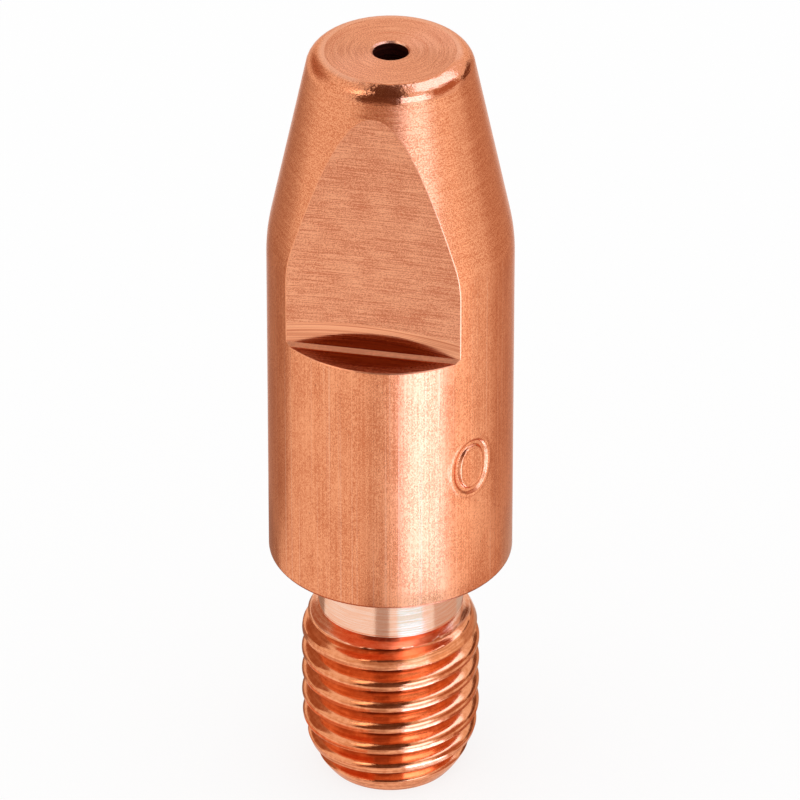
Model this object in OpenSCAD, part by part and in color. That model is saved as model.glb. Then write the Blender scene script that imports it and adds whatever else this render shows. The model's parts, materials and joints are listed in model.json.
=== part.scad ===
// Contact tip for a welding torch, turned from one piece of copper bar.
// It stands on its threaded end, at z = 0, with the nose up and the wire bore on the Z axis.
// The spanner flats face -Y and +Y.

/* [Body] */
// Diameter of the drawn bar, left unturned between the cone and the shoulder
body_d = 8; // [7:0.1:10]
// Length from the shoulder to the nose face
body_len = 18.6; // [16:0.1:24]
// Edge break round the shoulder's rim
shoulder_break = 0.1; // [0.05:0.01:0.3]

/* [Nose] */
// Diameter at which the cone and the nose face would meet in a sharp corner
nose_d = 5.2; // [4.2:0.1:6]
// Length of the cone, from the nose face back to the full body
cone_len = 6.7; // [4:0.1:8]
// Radius of the rounded rim between the nose face and the cone
nose_round = 0.6; // [0.2:0.05:1]

/* [Spanner flats] */
// Distance across the two flats
flats_af = 5.6; // [4.6:0.1:6.6]
// Length of the flats, from the nose face back to the ledge
flats_len = 9.6; // [8.5:0.1:14]
// Bevel that the cutter's corner leaves where a flat meets its ledge
flats_bevel = 0.12; // [0.05:0.01:0.4]

/* [Threaded end] */
// Major diameter of the thread, measured over its crests
thread_d = 5.88; // [5.5:0.01:6.5]
// Length of the thread, from the end face to the neck
thread_len = 6.25; // [5:0.05:10]
// Radius of the long arc that draws the thread in to its end face
lead_round = 3.6; // [3:0.1:5]
// Diameter of the end face
end_d = 4.25; // [3.8:0.05:4.8]
// Diameter of the neck between the thread and the shoulder
neck_d = 4.8; // [4.2:0.1:5.4]
// Length of the neck
neck_len = 2.15; // [1:0.05:4]
// Radius of the arc that draws the thread in to the neck
runout_round = 1.9; // [1:0.1:3]

/* [Wire bore] */
// Diameter of the bore that the wire runs through
bore_d = 1.15; // [0.8:0.05:1.8]
// Width of the small bevel round the bore at the nose face
mouth_bevel = 0.1; // [0.05:0.05:0.3]
// Diameter of the funnel in the end face that the wire enters by
funnel_d = 3; // [2.2:0.1:3.4]
// Full angle of the funnel
funnel_angle = 90; // [60:5:120]

/* [Hidden] */
$fn = 96;

// Heights above the end face
neck_z = thread_len;
shoulder_z = neck_z + neck_len;
nose_z = shoulder_z + body_len;
cone_z = nose_z - cone_len;
ledge_z = nose_z - flats_len;

// How far an arc that is level with the thread's side runs on until it has dropped by so much
function arc_len(r, drop) = sqrt(drop * (2 * r - drop));

// Lead and run-out: the arcs that draw the thread in to its end face and to the neck
lead_len = arc_len(lead_round, (thread_d - end_d) / 2);
runout_len = arc_len(runout_round, (thread_d - neck_d) / 2);

// Rim: the rounding touches the nose face and the cone, rim_back in from the sharp corner
cone_half_angle = atan((body_d - nose_d) / 2 / cone_len);
rim_back = nose_round * tan((90 - cone_half_angle) / 2);
rim_r = nose_d / 2 - rim_back;
rim_low_r = rim_r + nose_round * cos(cone_half_angle);
rim_low_z = nose_z - nose_round * (1 - sin(cone_half_angle));

funnel_len = (funnel_d - bore_d) / 2 / tan(funnel_angle / 2);

// How far a cutter runs past the surface that it cuts
past = 1;

// Half section of the threaded end and its neck, radius along X and height along Y
module shank_section() {
    intersection() {
        square([thread_d / 2, lead_len]);
        translate([thread_d / 2 - lead_round, lead_len])
            circle(r = lead_round);
    }
    translate([0, lead_len])
        square([thread_d / 2, neck_z - runout_len - lead_len]);
    intersection() {
        translate([0, neck_z - runout_len])
            square([thread_d / 2, runout_len]);
        translate([thread_d / 2 - runout_round, neck_z - runout_len])
            circle(r = runout_round);
    }
    translate([0, neck_z])
        square([neck_d / 2, neck_len]);
}

// Half section of the body, its cone and the rounded rim of the nose
module body_section() {
    polygon([
        [0, shoulder_z],
        [body_d / 2 - shoulder_break, shoulder_z],
        [body_d / 2, shoulder_z + shoulder_break],
        [body_d / 2, cone_z],
        [rim_low_r, rim_low_z],
        [rim_r, nose_z],
        [0, nose_z]
    ]);
    translate([rim_r, nose_z - nose_round])
        circle(r = nose_round);
}

// Turned blank, before milling and drilling
module blank() {
    rotate_extrude() {
        shank_section();
        body_section();
    }
}

// What the cutter takes off one side for a spanner flat, as a bar along X
module flat_cut() {
    flat_y = flats_af / 2;
    outside = body_d / 2 + past;
    above = nose_z + past;
    rotate([90, 0, 90])
        linear_extrude(height = 2 * outside, center = true)
            polygon([
                [flat_y + flats_bevel, ledge_z],
                [outside, ledge_z],
                [outside, above],
                [flat_y, above],
                [flat_y, ledge_z + flats_bevel]
            ]);
}

// Bore right through, bevelled at the nose and opened to a funnel at the threaded end
module wire_path() {
    translate([0, 0, -past])
        cylinder(d = bore_d, h = nose_z + 2 * past);
    translate([0, 0, nose_z - mouth_bevel])
        cylinder(d1 = bore_d, d2 = bore_d + 4 * mouth_bevel, h = 2 * mouth_bevel);
    translate([0, 0, -funnel_len])
        cylinder(d1 = 2 * funnel_d - bore_d, d2 = bore_d, h = 2 * funnel_len);
}

module contact_tip() {
    color("#c67b52")
        difference() {
            blank();
            for (side = [0, 180])
                rotate([0, 0, side])
                    flat_cut();
            wire_path();
        }
}

contact_tip();
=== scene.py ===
# %% [markdown]
# A contact tip for a welding torch
#
# A contact tip is a small copper nozzle that wire runs through on its way to the weld. It is turned
# from drawn bar: the nose is faced and coned, two flats are milled for a spanner, and the other end
# is necked and threaded. This lesson dresses the plain solid with what those tools leave behind.
# The solid itself stays as the frame, so every size is read from it or kept in its millimetres.

# %% Load the frame
import json
import math

import bmesh
import bpy
import numpy as np
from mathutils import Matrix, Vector

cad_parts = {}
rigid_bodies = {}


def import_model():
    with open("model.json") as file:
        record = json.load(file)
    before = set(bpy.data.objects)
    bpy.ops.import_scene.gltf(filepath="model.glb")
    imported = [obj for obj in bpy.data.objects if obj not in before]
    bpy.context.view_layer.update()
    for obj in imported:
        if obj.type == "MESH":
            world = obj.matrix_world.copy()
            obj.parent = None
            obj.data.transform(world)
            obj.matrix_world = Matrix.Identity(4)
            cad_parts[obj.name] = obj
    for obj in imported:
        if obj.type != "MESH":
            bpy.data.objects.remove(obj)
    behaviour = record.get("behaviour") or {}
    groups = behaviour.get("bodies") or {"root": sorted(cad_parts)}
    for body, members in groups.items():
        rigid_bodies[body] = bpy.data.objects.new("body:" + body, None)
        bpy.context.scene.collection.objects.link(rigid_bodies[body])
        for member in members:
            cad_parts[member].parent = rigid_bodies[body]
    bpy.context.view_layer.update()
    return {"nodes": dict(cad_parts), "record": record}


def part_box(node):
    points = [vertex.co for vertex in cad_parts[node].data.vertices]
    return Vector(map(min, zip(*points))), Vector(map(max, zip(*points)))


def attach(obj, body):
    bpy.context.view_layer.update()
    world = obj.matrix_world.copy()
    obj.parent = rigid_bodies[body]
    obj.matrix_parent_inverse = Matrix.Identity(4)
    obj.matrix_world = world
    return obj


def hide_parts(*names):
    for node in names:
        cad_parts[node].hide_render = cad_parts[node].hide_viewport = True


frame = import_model()
print("nodes in the frame:", sorted(frame["nodes"]))

# %% [markdown]
# Sizes
#
# The frame's box and its mounts give the main sizes. The rest are the same shop dimensions that the
# solid was turned to, in millimetres, with heights measured up from the end face that it stands on.

# %% Sizes of the turned blank
MM = 0.001
mounts = {mount["name"]: mount for mount in frame["record"]["mounts"]}
_, node_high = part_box("contact_tip")
nose_z = node_high.z / MM
body_r = node_high.x / MM
shoulder_z = mounts["shoulder"]["pos_m"][2] / MM
flat_y = mounts["spanner_flat_back"]["pos_m"][1] / MM
thread_r = mounts["thread"]["dims"]["r_mm"]
bore_r = mounts["wire_bore"]["dims"]["r_mm"]

cone_len = 6.7
nose_sharp_r = 2.6
nose_round = 0.6
flats_len = 9.6
ledge_bevel = 0.12
shoulder_break = 0.1
neck_r = 2.4
neck_len = 2.15
runout_round = 1.9
lead_round = 3.6
end_r = 2.125
mouth_lip = 0.055
funnel_r = 1.5

ledge_z = nose_z - flats_len
neck_z = shoulder_z - neck_len
cone_z = nose_z - cone_len
cone_slope = (body_r - nose_sharp_r) / cone_len
apex_z = nose_z - (flat_y - nose_sharp_r) / cone_slope
print(f"nose {nose_z:.2f}, body radius {body_r:.2f}, flats {2 * flat_y:.2f} apart, apex at {apex_z:.2f}")

# %% [markdown]
# One skin from patches
#
# The tip is one piece of metal, so its visual mesh is one closed skin. It could be cut with booleans,
# but those leave long thin faces that spoil reflections. Here each surface is a grid of points that
# follows the way the tool moved, and neighbouring grids share their border points, so welding them
# gives a clean skin. Each patch remembers which tool finish it wears.

# %% Points and patches
def around(radius, angle, height):
    """Points at an angle from -Y towards +X."""
    radius, angle, height = np.broadcast_arrays(radius, angle, height)
    return np.stack([radius * np.sin(angle), -radius * np.cos(angle), height], axis=-1)


def half_turned(points, half_turns):
    """The points turned about the bore by a number of half turns."""
    sign = -1 if half_turns % 2 else 1
    return points * np.array([sign, sign, 1])


def quads_of(index):
    """The four corners of each cell of a grid of point numbers."""
    corners = [index[:-1, :-1], index[:-1, 1:], index[1:, 1:], index[1:, :-1]]
    return np.stack(corners, axis=-1).reshape(-1, 4).tolist()


class Skin:
    """Gathers faces, in millimetres, with the name of the finish that each one wears."""

    def __init__(self):
        self.points = []
        self.faces = []
        self.finishes = []

    def patch(self, finish, grid, closed=False):
        """Quads over rows and columns of points. A closed grid joins its last column to its first."""
        rows, columns = grid.shape[:2]
        index = len(self.points) + np.arange(rows * columns).reshape(rows, columns)
        if closed:
            index = np.concatenate([index, index[:, :1]], axis=1)
        self.points.extend(grid.reshape(-1, 3).tolist())
        self.faces.extend(quads_of(index))
        names = np.broadcast_to(np.asarray(finish, dtype=object), index[1:, 1:].shape)
        self.finishes.extend(names.ravel().tolist())

    def zip_rings(self, finish, outer, inner):
        """Triangles between two rings round the bore that have different numbers of points."""
        rings = []
        for ring in (outer, inner):
            angle = np.arctan2(ring[:, 0], -ring[:, 1]) % (2 * np.pi)
            order = np.argsort(angle)
            first = len(self.points)
            self.points.extend(ring[order].tolist())
            rings.append((angle[order], first, len(ring)))
        step = [0, 0]
        while step[0] < rings[0][2] or step[1] < rings[1][2]:
            ahead = []
            for (angle, _, count), done in zip(rings, step):
                following = angle[(done + 1) % count] + 2 * np.pi * ((done + 1) // count)
                ahead.append(following if done < count else np.inf)
            mover = int(ahead[1] < ahead[0])
            here = [first + done % count for (_, first, count), done in zip(rings, step)]
            step[mover] += 1
            _, first, count = rings[mover]
            self.faces.append([here[0], here[1], first + step[mover] % count])
            self.finishes.append(finish)


skin = Skin()
print("skin ready for its patches")

# %% [markdown]
# The spanner flats
#
# Each flat is milled straight down the side, so it cuts the cone on a curve that rises to a point and
# ends below in a ledge. The corner between flat and ledge has a small bevel, from the worn corner of
# the cutter. Each row of the grid lies at one height: across it, the flat is a chord, and the round
# side is an arc that starts where the chord ends. The rows on the cone are spaced by the angle of that
# meeting point, so the curve stays smooth right up to its tip. Where the cone runs out into the bar,
# the turn is soft, and the rows lie closer.

# %% Rows of the flats and the sides
EDGE_BREAK = 0.018
EDGE_TAPER_LOW = 0.2
EDGE_TAPER_TIP = 0.6
CONE_SOFT = 0.14
STRAIGHT_ROWS = 8
SOFT_ROWS = 10
CONE_ROWS = 50


def soft_min(a, b, width):
    """The smaller of two values, with the corner between them rounded over a width."""
    near = np.clip(width - np.abs(a - b), 0, None) / width
    return np.minimum(a, b) - near ** 2 * width / 4


def blank_radius(z):
    """Radius of the bar or the cone at a height."""
    return soft_min(body_r, nose_sharp_r + (nose_z - z) * cone_slope, CONE_SOFT)


def cut_distance(z):
    """How far the milled surface lies from the bore's axis at a height."""
    return flat_y + np.clip(ledge_z + ledge_bevel - z, 0, ledge_bevel)


soft_reach = CONE_SOFT / cone_slope
meeting_high = math.acos(flat_y / (body_r - CONE_SOFT))
cone_meetings = np.linspace(meeting_high, 0, CONE_ROWS)
rows_z = np.concatenate([
    [ledge_z],
    np.linspace(ledge_z + ledge_bevel, cone_z - soft_reach, STRAIGHT_ROWS, endpoint=False),
    np.linspace(cone_z - soft_reach, cone_z + soft_reach, SOFT_ROWS, endpoint=False),
    nose_z - (flat_y / np.cos(cone_meetings) - nose_sharp_r) / cone_slope,
])
rows_r = blank_radius(rows_z)
rows_cut = np.minimum(cut_distance(rows_z), rows_r)
meeting = np.arccos(rows_cut / rows_r)
half_chord = rows_r * np.sin(meeting)
taper = np.minimum((rows_z - ledge_z) / EDGE_TAPER_LOW, half_chord / EDGE_TAPER_TIP)
edge = EDGE_BREAK * np.clip(taper, 0, 1)
print(f"{len(rows_z)} rows from the ledge at {ledge_z:.2f} to the tip at {rows_z[-1]:.2f}")

# %% Columns, finer where the stamp will be
STAMP_ANGLE = math.radians(52.9)
STAMP_Z = 13.27
STAMP_HALF_WIDTH = 0.605
STAMP_HALF_HEIGHT = 0.87
STAMP_GROOVE = 0.14
STAMP_STEP = 0.021
STAMP_MARGIN = 2
COARSE_COLUMNS = 26
FLAT_COLUMNS = 40

meeting_ledge = meeting[0]
sector = math.pi - 2 * meeting_ledge
stamp_reach = (STAMP_HALF_WIDTH + STAMP_MARGIN * STAMP_GROOVE) / body_r
stamp_from = STAMP_ANGLE - stamp_reach
stamp_to = STAMP_ANGLE + stamp_reach


def fine_columns(start, end):
    """How many columns as narrow as the stamp needs lie between two angles."""
    return int((end - start) * body_r / STAMP_STEP)


stamp_end = (stamp_to - meeting_ledge) / sector
stamped_shares = np.concatenate([
    np.linspace(0, stamp_end, fine_columns(meeting_ledge, stamp_to), endpoint=False),
    np.linspace(stamp_end, 1, COARSE_COLUMNS),
])
plain_shares = np.linspace(0, 1, COARSE_COLUMNS)
stamp_start = stamp_from / meeting_ledge
chord_shares = np.concatenate([
    np.linspace(-1, stamp_start, FLAT_COLUMNS, endpoint=False),
    np.linspace(stamp_start, 1, fine_columns(stamp_from, meeting_ledge)),
])
print(f"{len(stamped_shares)} columns on the stamped side, {len(plain_shares)} on the plain one")

# %% Sides, flats and their broken edges
on_cone = rows_z[1:] > cone_z
side_finish = np.where(on_cone, "turned_cone", "drawn_bar")[:, None]
flat_finish = np.where(rows_z[1:] > ledge_z + ledge_bevel, "milled_flat", "milled_bevel")[:, None]

for turn, shares in enumerate((stamped_shares, plain_shares)):
    start = meeting + edge / rows_r
    angles = start[:, None] + (math.pi - 2 * start[:, None]) * shares
    side = half_turned(around(rows_r[:, None], angles, rows_z[:, None]), turn)
    chord = chord_shares * (half_chord - edge)[:, None]
    depth = np.broadcast_to(-rows_cut[:, None], chord.shape)
    height = np.broadcast_to(rows_z[:, None], chord.shape)
    flat = half_turned(np.stack([chord, depth, height], axis=-1), turn)
    skin.patch(side_finish, side)
    skin.patch(flat_finish, flat)
    for end, angle in ((-1, start), (0, -start)):
        rim = half_turned(around(rows_r, angle, rows_z), turn)
        skin.patch("worn_edge", np.stack([flat[:, end], rim], axis=1))
print(f"flats and sides: {len(skin.faces)} faces")

# %% [markdown]
# The ledges
#
# A ledge is the half moon that the cutter leaves standing below a flat. Its columns fan out from the
# chord to the round edge of the bar. That edge is not knife sharp: a thin break runs along it and
# fades out at both corners, which catches a line of light.

# %% Ledges and their rims
LEDGE_ROWS = 6
RIM_BREAK = 0.035
RIM_FADE = 8

rim_break = RIM_BREAK * (1 - np.abs(chord_shares) ** RIM_FADE)
ledge_angles = chord_shares * meeting_ledge
inner_line = np.stack([
    chord_shares * half_chord[0],
    np.full(len(chord_shares), -rows_cut[0]),
    np.full(len(chord_shares), ledge_z),
], axis=-1)
outer_line = around(body_r - rim_break, ledge_angles, ledge_z)
rim_line = around(body_r, ledge_angles, ledge_z - rim_break)
spread = np.linspace(0, 1, LEDGE_ROWS)[:, None, None]
ledge = inner_line * (1 - spread) + outer_line * spread
for turn in (0, 1):
    skin.patch("milled_ledge", half_turned(ledge, turn))
    skin.patch("worn_edge", half_turned(np.stack([outer_line, rim_line]), turn))
print(f"ledges run {body_r - rows_cut[0]:.2f} mm out from the flats")

# %% [markdown]
# The drawn body and its stamp
#
# Below the ledges the bar keeps its drawn surface all the way round. One plain numeral, a zero, is
# stamped into it. The stamp's edge is worn, so the oval groove has a narrow floor between two sloping
# walls, and the metal that it pushed aside stands in a low lip. It could be a bump in the material,
# but a real groove catches light from every side, so the grid is made finer there and its points are
# pushed in along the oval.

# %% Lower body with the stamped zero
STAMP_DEPTH = 0.08
STAMP_WALL = 0.7
STAMP_LIP = 0.012
LIP_PLACE = 1.3
LIP_WIDTH = 0.3
STAMP_SQUARENESS = 2.15
PLAIN_STEP = 0.5
TINY = 1e-9


def stamp_offset(angle, z):
    """How far the surface moves out, or in where it is negative, near the stamped oval."""
    aside = (angle - STAMP_ANGLE + math.pi) % (2 * math.pi) - math.pi
    across = np.abs(aside) * body_r + TINY
    along = np.abs(z - STAMP_Z) + TINY
    power = STAMP_SQUARENESS
    level = (across / STAMP_HALF_WIDTH) ** power + (along / STAMP_HALF_HEIGHT) ** power
    slope_across = across ** (power - 1) / STAMP_HALF_WIDTH ** power
    slope_along = along ** (power - 1) / STAMP_HALF_HEIGHT ** power
    distance = (level - 1) / (power * np.hypot(slope_across, slope_along))
    share = np.abs(distance) / STAMP_GROOVE
    groove = np.clip((1 - share) / STAMP_WALL, 0, 1)
    lip = np.exp(-((share - LIP_PLACE) / LIP_WIDTH) ** 2)
    return STAMP_LIP * lip - STAMP_DEPTH * groove ** 2 * (3 - 2 * groove)


stamp_band = STAMP_HALF_HEIGHT + STAMP_MARGIN * STAMP_GROOVE
body_low_z = shoulder_z + shoulder_break
rows_below = int((STAMP_Z - stamp_band - body_low_z) / PLAIN_STEP)
rows_above = int((ledge_z - STAMP_Z - stamp_band) / PLAIN_STEP)
rows_stamp = int(2 * stamp_band / STAMP_STEP)
body_rows = np.concatenate([
    np.linspace(body_low_z, STAMP_Z - stamp_band, rows_below, endpoint=False),
    np.linspace(STAMP_Z - stamp_band, STAMP_Z + stamp_band, rows_stamp, endpoint=False),
    np.linspace(STAMP_Z + stamp_band, ledge_z, rows_above),
])
ring_angles = np.concatenate([
    meeting_ledge + sector * stamped_shares[:-1],
    math.pi + ledge_angles[:-1],
    math.pi + meeting_ledge + sector * plain_shares[:-1],
    2 * math.pi + ledge_angles[:-1],
])
plain_rims = [np.zeros(len(shares) - 1) for shares in (stamped_shares, plain_shares)]
ring_drop = np.concatenate([plain_rims[0], rim_break[:-1], plain_rims[1], rim_break[:-1]])
body_height = np.repeat(body_rows[:, None], len(ring_angles), axis=1)
body_height[-1] -= ring_drop
body_radius = body_r + stamp_offset(ring_angles[None, :], body_height)
skin.patch("drawn_bar", around(body_radius, ring_angles[None, :], body_height), closed=True)
print(f"drawn body: {len(body_rows)} rows of {len(ring_angles)} points")

# %% [markdown]
# Shoulder and neck
#
# The body ends in a square shoulder with a lightly rounded rim, and the neck below is turned down with
# a sharp tool, whose corner leaves a fine line round the neck's foot. The relief below cuts in under
# that foot. The neck and the thread need fewer points round than the body, so the flat shoulder is where
# the two counts are zipped together: on a flat face no reflection shows the change.

# %% Shoulder and neck
SHOULDER_ROWS = 5
THREAD_COLUMNS = 180
FOOT_DEPTH = 0.03
FOOT_HEIGHT = 0.06
RELIEF_R = 2.2

quarter = np.linspace(0, math.pi / 2, SHOULDER_ROWS)
break_r = body_r - shoulder_break * (1 - np.cos(quarter))
break_z = shoulder_z + shoulder_break * (1 - np.sin(quarter))
skin.patch("shoulder_rim", around(break_r[:, None], ring_angles, break_z[:, None]), closed=True)

shank_angles = np.linspace(0, 2 * math.pi, THREAD_COLUMNS + 1)
neck_profile = np.array([
    (neck_r, shoulder_z),
    (neck_r, (shoulder_z + neck_z) / 2),
    (neck_r, neck_z + FOOT_HEIGHT),
    (neck_r - FOOT_DEPTH, neck_z + FOOT_HEIGHT * 3 / 4),
    (neck_r, neck_z + FOOT_HEIGHT / 2),
    (neck_r, neck_z),
    (RELIEF_R, neck_z),
])
neck = around(neck_profile[:, :1], shank_angles, neck_profile[:, 1:])
skin.zip_rings("turned_shoulder", around(break_r[-1], ring_angles, shoulder_z), neck[0, :-1])
skin.patch("turned_neck", neck)
print(f"neck from {neck_z:.2f} to {shoulder_z:.2f}")

# %% [markdown]
# The thread
#
# The thread is right handed and fine. A helix could be swept and joined to the shank, but the joint
# would show. Here the shank is one grid whose rows climb with the helix, one pitch in a turn, so that
# the edges of crest and groove always lie along a row. Each point takes the smallest of three radii:
# the turned shank, which is rounded off towards both ends, the cut groove, and the relief, a groove
# turned below the neck so that the threading tool runs out into the open. The relief has level rows.
# At the lead the groove follows the shank inwards, and it fades out just above the end face.

# %% Shape of the shank, of one groove and of the relief
PITCH = 0.835
THREAD_PHASE = 0.44
TURNS_BELOW = 2
CREST_HALF = 0.13
CREST_ROUND = 0.11
GROOVE_DEPTH = 0.5
ROOT_ROUND = 0.2
RELIEF_FLOOR = 0.07
RELIEF_FLANK = 0.28
FLANK_SLOPE = 1 / math.tan(math.radians(30))
LEAD_FOLLOW = 0.75
LEAD_FADE_LOW = 0.05
LEAD_FADE_HIGH = 0.35


def arc_len(radius, drop):
    """How far an arc that starts level runs on until it has dropped by so much."""
    return math.sqrt(drop * (2 * radius - drop))


lead_len = arc_len(lead_round, thread_r - end_r)
runout_z = neck_z - arc_len(runout_round, thread_r - neck_r)
first_crest = (THREAD_PHASE - TURNS_BELOW) * PITCH


def arc_fall(radius, run):
    """How far an arc that starts level has dropped after so long a run."""
    return radius - np.sqrt(radius ** 2 - np.clip(run, 0, None) ** 2)


def shank_radius(z):
    """The turned shank before threading, from the end face to the neck."""
    return thread_r - arc_fall(lead_round, lead_len - z) - arc_fall(runout_round, z - runout_z)


def groove_radius(offset):
    """Radius of the thread at a distance along the axis from the middle of a crest."""
    fall = (np.abs(offset) - CREST_HALF) * FLANK_SLOPE
    cut = soft_min(fall, GROOVE_DEPTH, ROOT_ROUND)
    return thread_r + soft_min(-cut, 0, CREST_ROUND * FLANK_SLOPE)


def threaded_radius(z, angle):
    """Radius of the finished shank at a height and an angle."""
    offset = (z - PITCH * angle / (2 * math.pi) - first_crest + PITCH / 2) % PITCH - PITCH / 2
    relief = RELIEF_R + np.clip(neck_z - RELIEF_FLOOR - z, 0, None) * FLANK_SLOPE
    fade = np.clip((z - LEAD_FADE_LOW) / (LEAD_FADE_HIGH - LEAD_FADE_LOW), 0, 1)
    groove = groove_radius(offset) - LEAD_FOLLOW * fade * arc_fall(lead_round, lead_len - z)
    return np.minimum(np.minimum(shank_radius(z), relief), groove)


print(f"straight from {lead_len:.2f} to {runout_z:.2f}, groove {GROOVE_DEPTH:.2f} mm deep")

# %% Thread on its climbing grid, and the relief
SHALLOW = 0.02
BRIGHT_END = 0.45
CREST_POINTS = 2
ROUND_POINTS = 8
FLANK_POINTS = 7
RELIEF_ROWS = 10

half_offsets = np.concatenate([
    np.linspace(0, CREST_HALF - CREST_ROUND, CREST_POINTS),
    np.linspace(CREST_HALF - CREST_ROUND, CREST_HALF + CREST_ROUND, ROUND_POINTS)[1:],
    np.linspace(CREST_HALF + CREST_ROUND, PITCH / 2, FLANK_POINTS)[1:],
])
turn_offsets = np.concatenate([half_offsets[:-1], PITCH - half_offsets[:0:-1]])
turn_count = math.ceil(neck_z / PITCH) + TURNS_BELOW
climb = first_crest + np.concatenate([turn_offsets + PITCH * k for k in range(turn_count)])
climbing = climb[:, None] + PITCH * shank_angles / (2 * math.pi)
relief_z = neck_z - RELIEF_FLOOR - RELIEF_FLANK
shank_z = np.clip(climbing, 0, relief_z)
shank_r = threaded_radius(shank_z, shank_angles)
depth_cut = shank_radius(shank_z) - shank_r
mean_depth = (depth_cut[:-1, :-1] + depth_cut[1:, 1:]) / 2
mean_z = (shank_z[:-1, :-1] + shank_z[1:, 1:]) / 2
bright = (mean_depth > SHALLOW) | (mean_z > runout_z + BRIGHT_END)
skin.patch(np.where(bright, "thread_groove", "thread_crest"), around(shank_r, shank_angles, shank_z))

flank_z = np.linspace(relief_z, relief_z + RELIEF_FLANK, RELIEF_ROWS)
relief_rows = np.append(flank_z, neck_z)[:, None]
relief_r = threaded_radius(relief_rows, shank_angles)
skin.patch("thread_relief", around(relief_r, shank_angles, relief_rows))
print(f"thread: {len(climb)} rows climbing over {turn_count} turns, relief from {relief_z:.2f}")

# %% [markdown]
# Nose, bore and end face
#
# Above the tips of the flats the cone is whole. It rolls over a rounded rim into the faced end, where
# the wire comes out of a bore with a tiny bevel, drawn here as a finer lip than the solid has. At the
# threaded end the bore opens into a funnel, which guides new wire in.

# %% Nose, bore, funnel and end face
CAP_ROWS = 4
RIM_ROWS = 16
BORE_COLUMNS = 96
BORE_ROWS = 30

cone_angle = math.atan(cone_slope)
rim_back = nose_round * math.tan((math.pi / 2 - cone_angle) / 2)
rim_r = nose_sharp_r - rim_back
roll = np.linspace(cone_angle, math.pi / 2, RIM_ROWS)
roll_r = rim_r + nose_round * np.cos(roll)
roll_z = nose_z - nose_round * (1 - np.sin(roll))
nose_angles = np.concatenate([math.pi * stamped_shares[:-1], math.pi * (1 + plain_shares[:-1])])
cap_z = np.linspace(apex_z, roll_z[0], CAP_ROWS)
skin.patch("turned_cone", around(blank_radius(cap_z)[:, None], nose_angles, cap_z[:, None]), closed=True)
skin.patch("nose_rim", around(roll_r[:, None], nose_angles, roll_z[:, None]), closed=True)

bore_angles = np.linspace(0, 2 * math.pi, BORE_COLUMNS, endpoint=False)
funnel_len = funnel_r - bore_r
mouth = around(np.array([[bore_r + mouth_lip], [bore_r]]), bore_angles,
               np.array([[nose_z], [nose_z - mouth_lip]]))
bore_z = np.linspace(nose_z - mouth_lip, funnel_len, BORE_ROWS)
funnel = around(np.array([[bore_r], [funnel_r]]), bore_angles, np.array([[funnel_len], [0]]))
skin.patch("bore_mouth", mouth, closed=True)
skin.patch("drilled_bore", around(bore_r, bore_angles, bore_z[:, None]), closed=True)
skin.patch("faced_end", funnel, closed=True)
skin.zip_rings("faced_nose", around(rim_r, nose_angles, nose_z), mouth[0])
skin.zip_rings("faced_end", around(end_r, shank_angles[:-1], 0), funnel[1])
print(f"{len(skin.faces)} faces before welding")

# %% [markdown]
# Welding the skin
#
# The patches become one mesh. Points that coincide are merged, faces that shrank to nothing go, and the
# normals are turned outwards. Shading is smooth apart from real corners, which are the edges where the
# surface turns sharply and the borders of the milled surfaces.

# %% Build the mesh
WELD = 2e-4 * MM
CORNER = math.radians(24)
CRISP = ("milled_flat", "milled_bevel", "worn_edge")

finish_names = sorted(set(skin.finishes))
mesh = bpy.data.meshes.new("contact_tip_skin")
mesh.from_pydata((np.array(skin.points) * MM).tolist(), [], skin.faces)
mesh.polygons.foreach_set("material_index", [finish_names.index(name) for name in skin.finishes])
work = bmesh.new()
work.from_mesh(mesh)
bmesh.ops.remove_doubles(work, verts=work.verts, dist=WELD)
bmesh.ops.dissolve_degenerate(work, edges=work.edges, dist=WELD)
bmesh.ops.recalc_face_normals(work, faces=work.faces)
crisp_borders = {finish_names.index(name) for name in CRISP}
for face in work.faces:
    face.smooth = True
for line in work.edges:
    worn = {face.material_index for face in line.link_faces}
    line.smooth = line.calc_face_angle(0) < CORNER and not (len(worn) > 1 and worn & crisp_borders)
open_edges = [line for line in work.edges if len(line.link_faces) != 2]
work.to_mesh(mesh)
work.free()
tip = bpy.data.objects.new("contact_tip_skin", mesh)
bpy.context.scene.collection.objects.link(tip)
triangles = sum(len(face.vertices) - 2 for face in mesh.polygons)
print(f"skin: {triangles} triangles, {len(open_edges)} open edges")

# %% [markdown]
# Writing materials as sums
#
# Node trees are hard to read as lists of links. Small classes let a finish be written as arithmetic: a
# Wire is one output of a node, and adding or multiplying wires adds Math nodes. A Tree adds any other
# node by its type, and a Finish is the tree of one material, with words for what the finishes share.

# %% Wires and trees
class Wire:
    """One output of a node. Arithmetic on it adds Math nodes to its tree."""

    def __init__(self, tree, socket):
        self.tree = tree
        self.socket = socket

    def beside(self, name):
        """Another output of the same node."""
        return Wire(self.tree, self.socket.node.outputs[name])

    def math(self, operation, *values):
        """A Math node fed by this wire and these values, in order."""
        inputs = dict(enumerate((self, *values)))
        return self.tree.node("ShaderNodeMath", {"operation": operation}, inputs)

    def __add__(self, other):
        return self.math("ADD", other)

    def __sub__(self, other):
        return self.math("SUBTRACT", other)

    def __rsub__(self, other):
        return self.math("MULTIPLY_ADD", -1.0, other)

    def __mul__(self, other):
        return self.math("MULTIPLY", other)

    def __pow__(self, other):
        return self.math("POWER", other)

    __radd__ = __add__
    __rmul__ = __mul__


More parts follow.
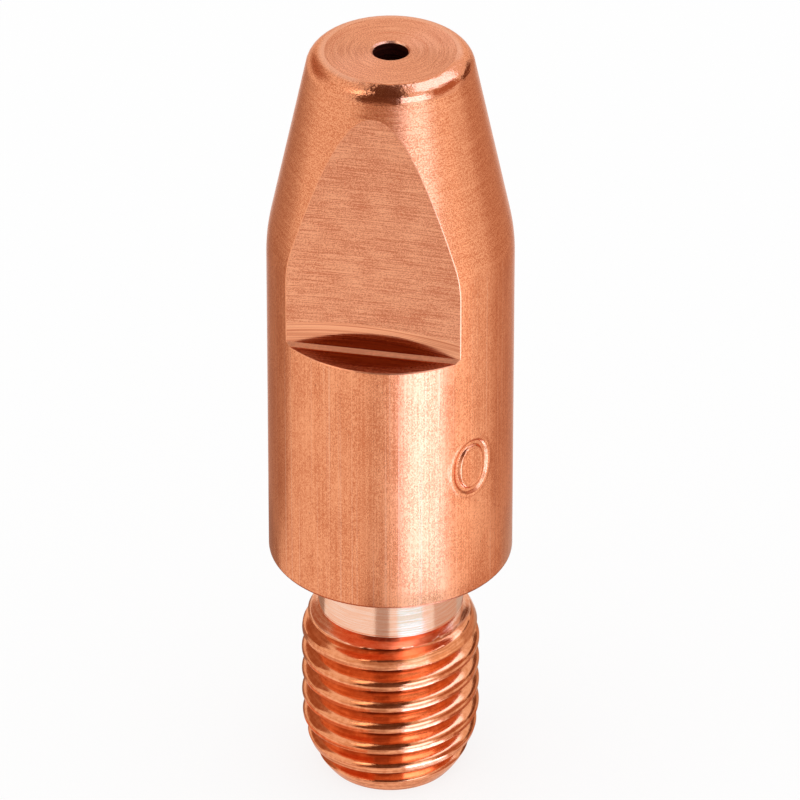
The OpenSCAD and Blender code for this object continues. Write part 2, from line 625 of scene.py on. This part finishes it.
class Tree:
    """A node tree whose nodes are added by type."""

    def __init__(self, tree):
        self.tree = tree
        self.tree.nodes.clear()

    def node(self, kind, settings=None, inputs=None, output=0):
        """Adds a node: settings first, then the values or wires of its sockets."""
        made = self.tree.nodes.new(kind)
        for name, value in (settings or {}).items():
            setattr(made, name, value)
        for key, value in (inputs or {}).items():
            if isinstance(value, Wire):
                self.tree.links.new(value.socket, made.inputs[key])
            else:
                made.inputs[key].default_value = value
        return Wire(self, made.outputs[output]) if made.outputs else None

    def on_show(self):
        """1 where the lens, a reflection or glass looks at the surface, and 0 for other light."""
        path = self.node("ShaderNodeLightPath", output="Is Camera Ray")
        reflected = path.math("MAXIMUM", path.beside("Is Glossy Ray"))
        return reflected.math("MAXIMUM", path.beside("Is Transmission Ray"))


print("a Wire adds Math nodes, and a Tree adds any other node")

# %% Tones of copper
def rgba(red, green, blue):
    """A colour in linear light."""
    return (red, green, blue, 1.0)


COPPER_DEEP = rgba(0.64, 0.185, 0.076)
COPPER_LIGHT = rgba(0.95, 0.385, 0.19)
COPPER_WARM = rgba(0.80, 0.30, 0.155)
MILLED_DEEP = rgba(0.62, 0.19, 0.09)
MILLED_LIGHT = rgba(0.95, 0.415, 0.225)
COPPER_PALE = rgba(0.93, 0.50, 0.33)
COPPER_FRESH = rgba(0.95, 0.62, 0.47)
GROOVE_DEEP = rgba(0.69, 0.215, 0.08)
GROOVE_LIGHT = rgba(0.88, 0.34, 0.16)
COPPER_DARK = rgba(0.36, 0.10, 0.045)
BORE_SOOT = rgba(0.05, 0.009, 0.006)
BORE_BROWN = rgba(0.14, 0.026, 0.014)
EDGE_TINT = rgba(0.9, 0.75, 0.65)

# Where noise, which stays near 0.5, turns from a deep tone to a light one
TONE_SOFT = (0.35, 0.65)
TONE_EVEN = (0.38, 0.62)
TONE_FIRM = (0.40, 0.60)
TONE_SHARP = (0.42, 0.58)
print("tones of copper, from a blackish bore to a fresh cut")

# %% Finishes
# The Mix node's sockets for colours have numbers here, because other kinds of data share their names
MIX_SHARE = 0
MIX_FIRST = 6
MIX_SECOND = 7
MIX_COLOUR = 2


class Finish(Tree):
    """A material, with the words that the copper finishes share."""

    def __init__(self, name):
        self.material = bpy.data.materials.new(name)
        self.material.use_nodes = True
        super().__init__(self.material.node_tree)

    def place(self):
        """Position on the tip in millimetres."""
        metres = self.node("ShaderNodeTexCoord", output="Object")
        return self.node("ShaderNodeVectorMath", {"operation": "SCALE"}, {0: metres, "Scale": 1 / MM})

    def parts(self, vector):
        """The three numbers of a vector."""
        x = self.node("ShaderNodeSeparateXYZ", None, {0: vector})
        return x, x.beside("Y"), x.beside("Z")

    def vector(self, x, y, z):
        """A vector from three numbers."""
        return self.node("ShaderNodeCombineXYZ", None, {0: x, 1: y, 2: z})

    def noise(self, vector, per_mm, detail=2.0, roughness=0.5):
        """Smooth noise round 0.5 with its own number of waves per millimetre along each axis."""
        scaled = self.node("ShaderNodeVectorMath", {"operation": "MULTIPLY"}, {0: vector, 1: per_mm})
        inputs = {"Vector": scaled, "Scale": 1.0, "Detail": detail, "Roughness": roughness}
        return self.node("ShaderNodeTexNoise", None, inputs)

    def fade(self, value, low, high):
        """Rises smoothly from 0 at low to 1 at high."""
        inputs = {"Value": value, "From Min": low, "From Max": high}
        return self.node("ShaderNodeMapRange", {"interpolation_type": "SMOOTHSTEP"}, inputs)

    def blend(self, share, first, second):
        """A colour between two colours."""
        inputs = {MIX_SHARE: share, MIX_FIRST: first, MIX_SECOND: second}
        return self.node("ShaderNodeMix", {"data_type": "RGBA"}, inputs, output=MIX_COLOUR)

    def surface(self, shader):
        """Ends the tree in a material output."""
        self.node("ShaderNodeOutputMaterial", None, {"Surface": shader})
        return self.material

    def metal(self, colour, roughness, height, depth, constants=None):
        """Bare copper, with a bump of so many millimetres where its height is 1."""
        bump = {"Height": height, "Distance": depth * MM, "Strength": 1.0}
        inputs = {
            "Base Color": colour,
            "Roughness": roughness,
            "Metallic": 1.0,
            "Specular Tint": EDGE_TINT,
            "Normal": self.node("ShaderNodeBump", None, bump),
            **(constants or {}),
        }
        return self.surface(self.node("ShaderNodeBsdfPrincipled", None, inputs))


print("materials are written with Wire, Tree and Finish")

# %% [markdown]
# Drawn bar
#
# The body keeps the skin of the drawn bar: fine lines along its length from the drawing die, a mottled
# grain where the metal was pickled, and a few dark specks. The lines are noise that is stretched along
# the bar, and the grain is the same noise left nearly round.

# %% Drawn bar
BAR_GRAIN = (27.0, 27.0, 17.0)
BAR_MOTTLE = (9.0, 9.0, 6.0)
BAR_CLOUD = (1.1, 1.1, 0.5)
BAR_LINES = (22.0, 22.0, 0.09)
DIE_MARKS = (18.0, 18.0, 0.05)
DIE_MARKS_SHOW = (0.64, 0.72)
SPECKS = (14.0, 14.0, 9.0)
SPECKS_SHOW = (0.70, 0.76)


def drawn_bar():
    finish = Finish("drawn_bar")
    place = finish.place()
    grain = finish.noise(place, BAR_GRAIN, detail=1.0)
    mottle = finish.noise(place, BAR_MOTTLE, roughness=0.6)
    cloud = finish.noise(place, BAR_CLOUD)
    lines = finish.noise(place, BAR_LINES, detail=1.0)
    die_marks = finish.fade(finish.noise(place, DIE_MARKS, detail=1.0), *DIE_MARKS_SHOW)
    specks = finish.fade(finish.noise(place, SPECKS, detail=1.0), *SPECKS_SHOW)
    tone = finish.fade(0.42 * grain + 0.18 * mottle + 0.2 * lines + 0.2 * cloud, *TONE_EVEN)
    colour = finish.blend(tone, COPPER_DEEP, COPPER_LIGHT)
    colour = finish.blend(0.4 * die_marks, colour, COPPER_PALE)
    colour = finish.blend(0.6 * specks, colour, COPPER_DARK)
    height = 0.6 * grain + 0.4 * lines
    return finish.metal(colour, 0.23 + 0.08 * cloud, height, depth=0.0018)


print("drawn bar")

# %% [markdown]
# Turned faces
#
# A lathe tool leaves a fine spiral: rings round the bore, a few hundredths of a millimetre apart. On the
# cone and the neck the rings are counted up the height, and on the faced ends outwards along the radius.
# The shared recipe takes that count, so that each turned face only says how strong its rings are. Along a
# ring the noise changes slowly, which breaks it up a little.

# %% Rings of a turned face
SLOW = 0.02
TOOL_RINGS = (9.0, 9.0, 9.0)
FINE_RINGS = (30.0, 60.0, 60.0)
METAL_GRAIN = (24.0, 24.0, 24.0)


def turned(name, count_along, deep, light, roughness, depth, rings_share, constants=None):
    """Copper with tool rings, counted up the height or out along the radius."""
    finish = Finish(name)
    place = finish.place()
    x, y, z = finish.parts(place)
    counts = {"height": z, "radius": (x * x + y * y) ** 0.5}
    counted = finish.vector(counts[count_along], SLOW * x, SLOW * y)
    rings = finish.noise(counted, TOOL_RINGS, roughness=0.6)
    fine = finish.noise(counted, FINE_RINGS, detail=1.0)
    grain = finish.noise(place, METAL_GRAIN, detail=1.0)
    marks = 0.25 * rings + 0.75 * fine
    mixed = rings_share * marks + (1 - rings_share) * grain
    colour = finish.blend(finish.fade(mixed, *TONE_EVEN), deep, light)
    return finish.metal(colour, roughness + 0.1 * rings, mixed, depth, constants)


print("recipe for turned faces")

# %% Turned cone, neck, shoulder, faced ends and bore
STRETCHED_ROUND = {"Anisotropic": 0.55}


def turned_cone():
    return turned("turned_cone", "height", COPPER_DEEP, COPPER_LIGHT,
                  roughness=0.22, depth=0.0025, rings_share=0.3)


def faced_nose():
    return turned("faced_nose", "radius", MILLED_DEEP, MILLED_LIGHT,
                  roughness=0.24, depth=0.004, rings_share=0.35, constants=STRETCHED_ROUND)


def faced_end():
    return turned("faced_end", "radius", COPPER_DEEP, COPPER_LIGHT,
                  roughness=0.26, depth=0.006, rings_share=0.7)


def turned_shoulder():
    return turned("turned_shoulder", "radius", COPPER_DEEP, COPPER_LIGHT,
                  roughness=0.24, depth=0.006, rings_share=0.7)


# Painted shade: the rim's dark tones stand in for the shade under the body's rim, which faces down
def shoulder_rim():
    return turned("shoulder_rim", "height", COPPER_DARK, COPPER_DEEP,
                  roughness=0.3, depth=0.003, rings_share=0.4)


def turned_neck():
    return turned("turned_neck", "height", COPPER_PALE, COPPER_FRESH,
                  roughness=0.1, depth=0.003, rings_share=0.85)


def bore_mouth():
    return turned("bore_mouth", "height", COPPER_WARM, COPPER_PALE,
                  roughness=0.3, depth=0.002, rings_share=0.3)


# The bore is coloured near black to dark brown, much darker than the copper outside
def drilled_bore():
    return turned("drilled_bore", "height", BORE_SOOT, BORE_BROWN,
                  roughness=0.6, depth=0.004, rings_share=0.7)


print("turned finishes")

# %% [markdown]
# The rubbed rim
#
# The rim of the nose was rubbed smooth on one side, where it is as bright as a mirror, and stays satin
# on the other, with a paler line where it meets the face. One material holds both: how rough it is
# follows the angle round the bore. Fine scratches along the rim break up what the mirror shows.

# %% Nose rim
RUBBED_TOWARDS = math.radians(38)
RUBBED_SHOWS = (0.4, 0.72)
PALE_LINE = 0.06
RIM_RAGGED = (4.0, 4.0, 8.0)
RIM_SCRATCHES = (24.0, 70.0, 70.0)


def nose_rim():
    finish = Finish("nose_rim")
    place = finish.place()
    x, y, z = finish.parts(place)
    facing = (math.sin(RUBBED_TOWARDS) * x - math.cos(RUBBED_TOWARDS) * y) * (1 / nose_sharp_r)
    grain = finish.noise(place, METAL_GRAIN, detail=1.0)
    ragged = finish.noise(place, RIM_RAGGED, detail=3.0, roughness=0.6)
    scratches = finish.noise(finish.vector(z, SLOW * x, SLOW * y), RIM_SCRATCHES, roughness=0.6)
    rubbed = finish.fade(facing + 0.3 * ragged - 0.15, *RUBBED_SHOWS)
    pale = finish.fade(z, nose_z - PALE_LINE, nose_z) * (1 - rubbed)
    colour = finish.blend(finish.fade(grain, *TONE_EVEN), COPPER_DEEP, COPPER_LIGHT)
    colour = finish.blend(0.5 * pale, colour, COPPER_PALE)
    colour = finish.blend(0.6 * rubbed, colour, COPPER_WARM)
    roughness = 0.28 - 0.14 * rubbed
    height = 0.18 * grain * (1 - rubbed) + (0.6 * ragged + 0.3 * scratches) * rubbed
    return finish.metal(colour, roughness, height, depth=0.018)


print("rubbed rim")

# %% [markdown]
# Milled flats
#
# The cutter swept across each flat and left long fine lines. Where it came to rest above the ledge, its
# rim rubbed the metal smooth, in a low band with an arched top that mirrors the ledge below. The lines
# are rings round a point far below the flat, and in the band they are rings round a nearer point.

# %% Milled flat
SWEEP_BELOW = 60.0
BAND_ROUND = 15.0
BAND_HEIGHT = 0.9
BAND_SIDE = -0.4
BAND_SOFT = 0.06
BAND_ENDS = 1.1
LONG_LINES = (34.0, 8.0, 1.0)
SHORT_LINES = (50.0, 60.0, 1.0)
BAND_LINES = (16.0, 6.0, 1.0)
FLAT_CLOUD = (1.0, 1.0, 1.0)


def milled_flat():
    finish = Finish("milled_flat")
    place = finish.place()
    x, y, z = finish.parts(place)
    along = -1.0 * x * y.math("SIGN")
    drop = z + SWEEP_BELOW
    sweep = (x * x + drop * drop) ** 0.5
    band_x = along - BAND_SIDE
    band_z = z - (ledge_z + ledge_bevel + BAND_HEIGHT - BAND_ROUND)
    rest = (band_x * band_x + band_z * band_z) ** 0.5
    band = 1 - finish.fade(rest, BAND_ROUND - BAND_SOFT, BAND_ROUND + BAND_SOFT)
    long_lines = finish.noise(finish.vector(sweep, SLOW * x, y), LONG_LINES, detail=1.0)
    short_lines = finish.noise(finish.vector(sweep, SLOW * x, y), SHORT_LINES, detail=1.0)
    band_lines = finish.noise(finish.vector(rest, SLOW * x, y), BAND_LINES, roughness=0.6)
    grain = finish.noise(place, METAL_GRAIN, detail=1.0)
    cloud = finish.noise(place, FLAT_CLOUD)
    ends = finish.fade(x.math("ABSOLUTE"), BAND_ENDS, half_chord[1])
    marks = 0.4 * long_lines + 0.6 * short_lines
    tone = finish.fade(0.52 * marks + 0.36 * grain + 0.12 * cloud, *TONE_SHARP)
    streaks = finish.fade(band_lines, *TONE_SOFT)
    colour = finish.blend(tone * (1 - band) + streaks * band, MILLED_DEEP, MILLED_LIGHT)
    rubbed = 0.03 + 0.08 * band_lines + 0.16 * ends
    roughness = (0.24 + 0.1 * cloud) * (1 - band) + rubbed * band
    height = marks * (1 - band) + 0.25 * band_lines * band
    return finish.metal(colour, roughness, height, depth=0.004)


print("milled flat")

# %% Bevel, ledge and worn edges
LEDGE_SMOOTH_TO = 3.3
CUTTER_LINES = (0.4, 14.0, 14.0)
CUTTER_GRAIN = (12.0, 12.0, 12.0)


def milled(name, deep, light, smooth, rough, depth):
    """Straight cutter lines along the flats, smooth near the bore and rough at the bar's surface."""
    finish = Finish(name)
    place = finish.place()
    x, y, z = finish.parts(place)
    outward = finish.fade((x * x + y * y) ** 0.5, LEDGE_SMOOTH_TO, body_r)
    lines = finish.noise(place, CUTTER_LINES, roughness=0.6)
    grain = finish.noise(place, CUTTER_GRAIN)
    colour = finish.blend(finish.fade(0.6 * lines + 0.4 * grain, *TONE_FIRM), deep, light)
    return finish.metal(colour, smooth + (rough - smooth) * outward + 0.08 * grain, lines, depth)


def milled_bevel():
    return milled("milled_bevel", COPPER_WARM, COPPER_LIGHT, smooth=0.4, rough=0.4, depth=0.003)


def milled_ledge():
    return milled("milled_ledge", COPPER_DEEP, COPPER_LIGHT, smooth=0.05, rough=0.4, depth=0.004)


def worn_edge():
    return milled("worn_edge", COPPER_WARM, COPPER_LIGHT, smooth=0.3, rough=0.3, depth=0.002)


print("milled finishes")

# %% [markdown]
# Thread
#
# The crests keep the satin of the turned shank. The grooves were cut last, with oil, and are bright: in
# them the light bounces from wall to wall, and copper takes more of the blue at each bounce, which is
# why grooves look deep orange. The fine tool lines follow the helix, so they are counted across one
# pitch: the fraction of a turn that the point lies above the nearest groove. Near that groove's root
# the colour is darkened in patches, a painted shade for the shade deep in the groove. The relief below
# the neck is open and is given a paler colour, a painted sheen for the extra light that reaches it.

# %% Thread crest, groove and relief
STRETCHED_UP = {"Anisotropic": 0.55, "Anisotropic Rotation": 0.25}
HELIX_LINES = (20.0, 30.0, 30.0)
HELIX_GRAIN = (6.0, 6.0, 6.0)
# Patches of painted shade near the grooves' roots: their size, where they show and how far they reach
STAIN_PATCHES = (1.2, 1.2, 1.2)
STAIN_SHOWS = (0.35, 0.6)
STAIN_REACH = 0.2
STAIN_FULL = 0.04


def threaded(name, deep, light, roughness, depth, constants=None):
    """Copper with tool lines along the helix, and painted shade near the grooves' roots."""
    finish = Finish(name)
    place = finish.place()
    x, y, z = finish.parts(place)
    turns = x.math("ARCTAN2", -1.0 * y) * (1 / (2 * math.pi))
    across = (z * (1 / PITCH) - turns - (first_crest / PITCH - 0.5)).math("FRACT") * PITCH
    lines = finish.noise(finish.vector(across, SLOW * x, SLOW * y), HELIX_LINES, roughness=0.6)
    grain = finish.noise(place, HELIX_GRAIN, detail=3.0, roughness=0.6)
    patches = finish.fade(finish.noise(place, STAIN_PATCHES), *STAIN_SHOWS)
    from_crest = (across - PITCH / 2).math("ABSOLUTE")
    # Painted shade: dark patches near each groove's root stand in for the shade deep in the groove
    stain = finish.fade(from_crest, PITCH / 2 - STAIN_REACH, PITCH / 2 - STAIN_FULL) * patches
    mixed = 0.65 * lines + 0.35 * grain
    colour = finish.blend(finish.fade(mixed, *TONE_FIRM), deep, light)
    colour = finish.blend(0.4 * stain, colour, COPPER_DARK)
    return finish.metal(colour, roughness + 0.1 * grain, mixed, depth, constants)


def thread_crest():
    return threaded("thread_crest", COPPER_DEEP, COPPER_LIGHT,
                    roughness=0.18, depth=0.006, constants=STRETCHED_UP)


def thread_groove():
    return threaded("thread_groove", GROOVE_DEEP, GROOVE_LIGHT, roughness=0.1, depth=0.004)


# Painted sheen: the relief's paler colour stands in for the extra light that reaches the open relief
def thread_relief():
    return threaded("thread_relief", COPPER_WARM, COPPER_PALE, roughness=0.16, depth=0.004)


print("thread finishes")

# %% Finishes on the skin
makers = (
    drawn_bar, turned_cone, nose_rim, faced_nose, faced_end, turned_shoulder, shoulder_rim, turned_neck,
    milled_flat, milled_bevel, milled_ledge, worn_edge, thread_crest, thread_groove, thread_relief,
    bore_mouth, drilled_bore,
)
finishes = {maker.__name__: maker for maker in makers}
for name in finish_names:
    mesh.materials.append(finishes[name]())
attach(tip, "root")
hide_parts("contact_tip")
print("finishes on the skin:", ", ".join(finish_names))

# %% [markdown]
# Camera
#
# The picture is taken from a little above, with a long lens, so the sides of the bar stay nearly
# parallel. The tip stands a little left of the middle, which is a small shift of the lens.

# %% Camera
VIEW_AZIMUTH = math.radians(11.5)
VIEW_ELEVATION = math.radians(31.96)
VIEW_DISTANCE = 280 * MM
VIEW_CENTRE = Vector((0, 0, 13.93 * MM))
LENS = 387.3
SENSOR = 36
LENS_SHIFT = 0.0118
CLIP_NEAR = 0.01
CLIP_FAR = 5

toward_camera = Vector((
    math.sin(VIEW_AZIMUTH) * math.cos(VIEW_ELEVATION),
    -math.cos(VIEW_AZIMUTH) * math.cos(VIEW_ELEVATION),
    math.sin(VIEW_ELEVATION),
))
camera_data = bpy.data.cameras.new("camera")
camera_data.lens = LENS
camera_data.sensor_width = SENSOR
camera_data.shift_x = LENS_SHIFT
camera_data.clip_start = CLIP_NEAR
camera_data.clip_end = CLIP_FAR
camera = bpy.data.objects.new("camera", camera_data)
camera.location = VIEW_CENTRE + toward_camera * VIEW_DISTANCE
camera.rotation_euler = (-toward_camera).to_track_quat("-Z", "Y").to_euler()
bpy.context.scene.collection.objects.link(camera)
bpy.context.scene.camera = camera
print(f"camera {VIEW_DISTANCE / MM:.0f} mm away")

# %% [markdown]
# Studio
#
# Metal shows its surroundings, so the studio is part of its look. The floor and the world are white. A
# lamp gives the soft shadow. Sheets of card stand round the tip, and only its reflections see them:
# bright ones to the right of the lens for the long highlights, and dim ones round the lens and at the
# sides for the dark streaks beside them. Two more lie just where the rounded rim of the nose looks.

# %% Floor, world and lamp
FLOOR_HALF = 1000.0
FLOOR_GLOW = 0.8
FLOOR_PAINT = rgba(0.95, 0.95, 0.95)
WHITE = rgba(1, 1, 1)
LAMP_POWER = 0.02
LAMP_SIZE = 0.15
LAMP_PLACE = (-0.12, -0.05, 0.25)


def sheet(name, grid, material):
    """A stage sheet from rows and columns of points in millimetres."""
    rows, columns = grid.shape[:2]
    data = bpy.data.meshes.new(name)
    faces = quads_of(np.arange(rows * columns).reshape(rows, columns))
    data.from_pydata((grid.reshape(-1, 3) * MM).tolist(), [], faces)
    data.materials.append(material)
    made = bpy.data.objects.new(name, data)
    bpy.context.scene.collection.objects.link(made)
    return made


def white_floor():
    """Matt white that glows where the lens or the metal looks at it, and still takes the shadow."""
    floor = Finish("white_floor")
    matt = floor.node("ShaderNodeBsdfDiffuse", None, {"Color": FLOOR_PAINT})
    light = floor.node("ShaderNodeEmission", None, {"Color": WHITE, "Strength": 1.0})
    glow = FLOOR_GLOW * floor.on_show()
    return floor.surface(floor.node("ShaderNodeMixShader", None, {0: glow, 1: matt, 2: light}))


corners = np.array([-FLOOR_HALF, FLOOR_HALF])
floor_x, floor_y = np.meshgrid(corners, corners)
sheet("floor", np.stack([floor_x, floor_y, np.zeros_like(floor_x)], axis=-1), white_floor())

world = bpy.data.worlds.new("studio")
bpy.context.scene.world = world
world.use_nodes = True
sky = Tree(world.node_tree)
sky.node("ShaderNodeOutputWorld", None, {
    "Surface": sky.node("ShaderNodeBackground", None, {"Color": WHITE, "Strength": 1.0})})

lamp_data = bpy.data.lights.new("soft_lamp", "AREA")
lamp_data.energy = LAMP_POWER
lamp_data.size = LAMP_SIZE
lamp = bpy.data.objects.new("soft_lamp", lamp_data)
lamp.location = LAMP_PLACE
lamp.rotation_euler = (-lamp.location).to_track_quat("-Z", "Y").to_euler()
lamp.visible_glossy = False
bpy.context.scene.collection.objects.link(lamp)
bpy.context.scene.view_settings.view_transform = "Standard"
print("white floor, world and lamp")

# %% Two kinds of card
CARD_REACH = 150.0
CARD_MIDDLE = 13.5
CARD_LIFT = 0.3
CARD_CELLS = 24
NEUTRAL = np.ones(3)


def glowing_sheet(name, grid, strength, tint):
    """A sheet that only reflections see."""
    glow = Finish(name)
    light = glow.node("ShaderNodeEmission", None, {"Color": rgba(*tint), "Strength": strength})
    made = sheet(name, grid, glow.surface(light))
    made.visible_camera = False
    made.visible_diffuse = False
    made.visible_shadow = False


def card(name, azimuths, elevations, strength, tint=NEUTRAL):
    """A sheet over a stretch of directions from the middle of the tip, in degrees from the lens and up.
    It lies on a dome, or on the floor where the dome would go below it."""
    azimuth = VIEW_AZIMUTH + np.radians(np.linspace(*azimuths, CARD_CELLS))
    elevation = np.radians(np.linspace(*elevations, CARD_CELLS))[:, None]
    fall = np.clip(-np.sin(elevation), TINY, None)
    reach = np.minimum(CARD_REACH, (CARD_MIDDLE - CARD_LIFT) / fall)
    grid = around(reach * np.cos(elevation), azimuth, CARD_MIDDLE + reach * np.sin(elevation))
    glowing_sheet(name, grid, strength, tint)


def rim_card(name, azimuths, tilts, strength, tint):
    """A sheet where the rounded rim of the nose looks, over a stretch of the rim in degrees."""
    azimuth = VIEW_AZIMUTH + np.radians(np.linspace(*azimuths, CARD_CELLS))
    tilt = np.radians(np.linspace(*tilts, CARD_CELLS))[:, None]
    normal = around(np.cos(tilt), azimuth, np.sin(tilt))
    lens = np.array(toward_camera)
    seen = 2 * (normal @ lens)[..., None] * normal - lens
    glowing_sheet(name, seen * CARD_REACH + np.array([0, 0, nose_z]), strength, tint)


print(f"cards stand up to {CARD_REACH:.0f} mm away, {CARD_CELLS} points along each side")

# %% Cards in their places
FOOT_FLOOR = (-76, -53)
NEAR_FLOOR = (-53, -37.5)
ALL_NEAR = (-70, -37.5)
FAR_FLOOR = (-37.5, -12)
FAR_TO_HORIZON = (-37.5, -5)
LOW_WALL = (8, 42)
HIGH_WALL = (12, 44)
COOL = np.array([0.78, 1.02, 1.6])
COLD = np.array([0.7, 1.0, 1.8])
MILD = np.array([0.68, 1.02, 1.24])
WARM = np.array([1.15, 0.9, 0.78])
RED = np.array([1.35, 0.7, 0.45])

card("key_foot", (14, 54), FOOT_FLOOR, 5.5, COLD)
card("key_near", (10, 47), NEAR_FLOOR, 1.3, MILD)
card("key_far", (10, 47), FAR_TO_HORIZON, 3.1, COOL)
card("key_high", (22, 46), (-5, 12), 1.65, MILD)
card("key_wall", (16, 52), HIGH_WALL, 3.0, COOL)
card("side_wall", (60, 106), HIGH_WALL, 0.4, RED)
rim_card("rim_light", (17, 58), (48, 80), 2.6, COOL)
card("side_far", (47, 76), FAR_TO_HORIZON, 1.25)
card("side_near", (66, 118), NEAR_FLOOR, 0.62, WARM)
card("side_foot", (66, 118), FOOT_FLOOR, 0.4, RED)
card("left_foot", (-112, -22), FOOT_FLOOR, 0.65, RED)
card("lens_near", (-22, -2), ALL_NEAR, 0.45, WARM)
card("lens_far", (-19, -2), FAR_FLOOR, 0.85)
card("lens_horizon", (-36, 2), (-12, 8), 0.5, WARM)
card("lens_streak", (2, 16), (-5, 8), 0.45, WARM)
card("lens_wall", (-48, 14), LOW_WALL, 0.13, RED)
rim_card("lens_roof", (-19, 11), (34, 86), 0.1, RED)
card("bevel_light", (-66, -47), (44, 68), 2.6)
card("right_wall", (108, 142), (5, 22), 0.15, RED)
card("right_far", (100, 152), (-37.5, 5), 0.58, WARM)
card("right_near", (118, 152), ALL_NEAR, 0.65)
card("left_near", (-176, -118), ALL_NEAR, 0.35, WARM)
card("left_far", (-155, -104), (-37.5, -9), 0.45, WARM)
card("left_wall", (-152, -106), LOW_WALL, 0.33, RED)
print("cards stand round the tip")
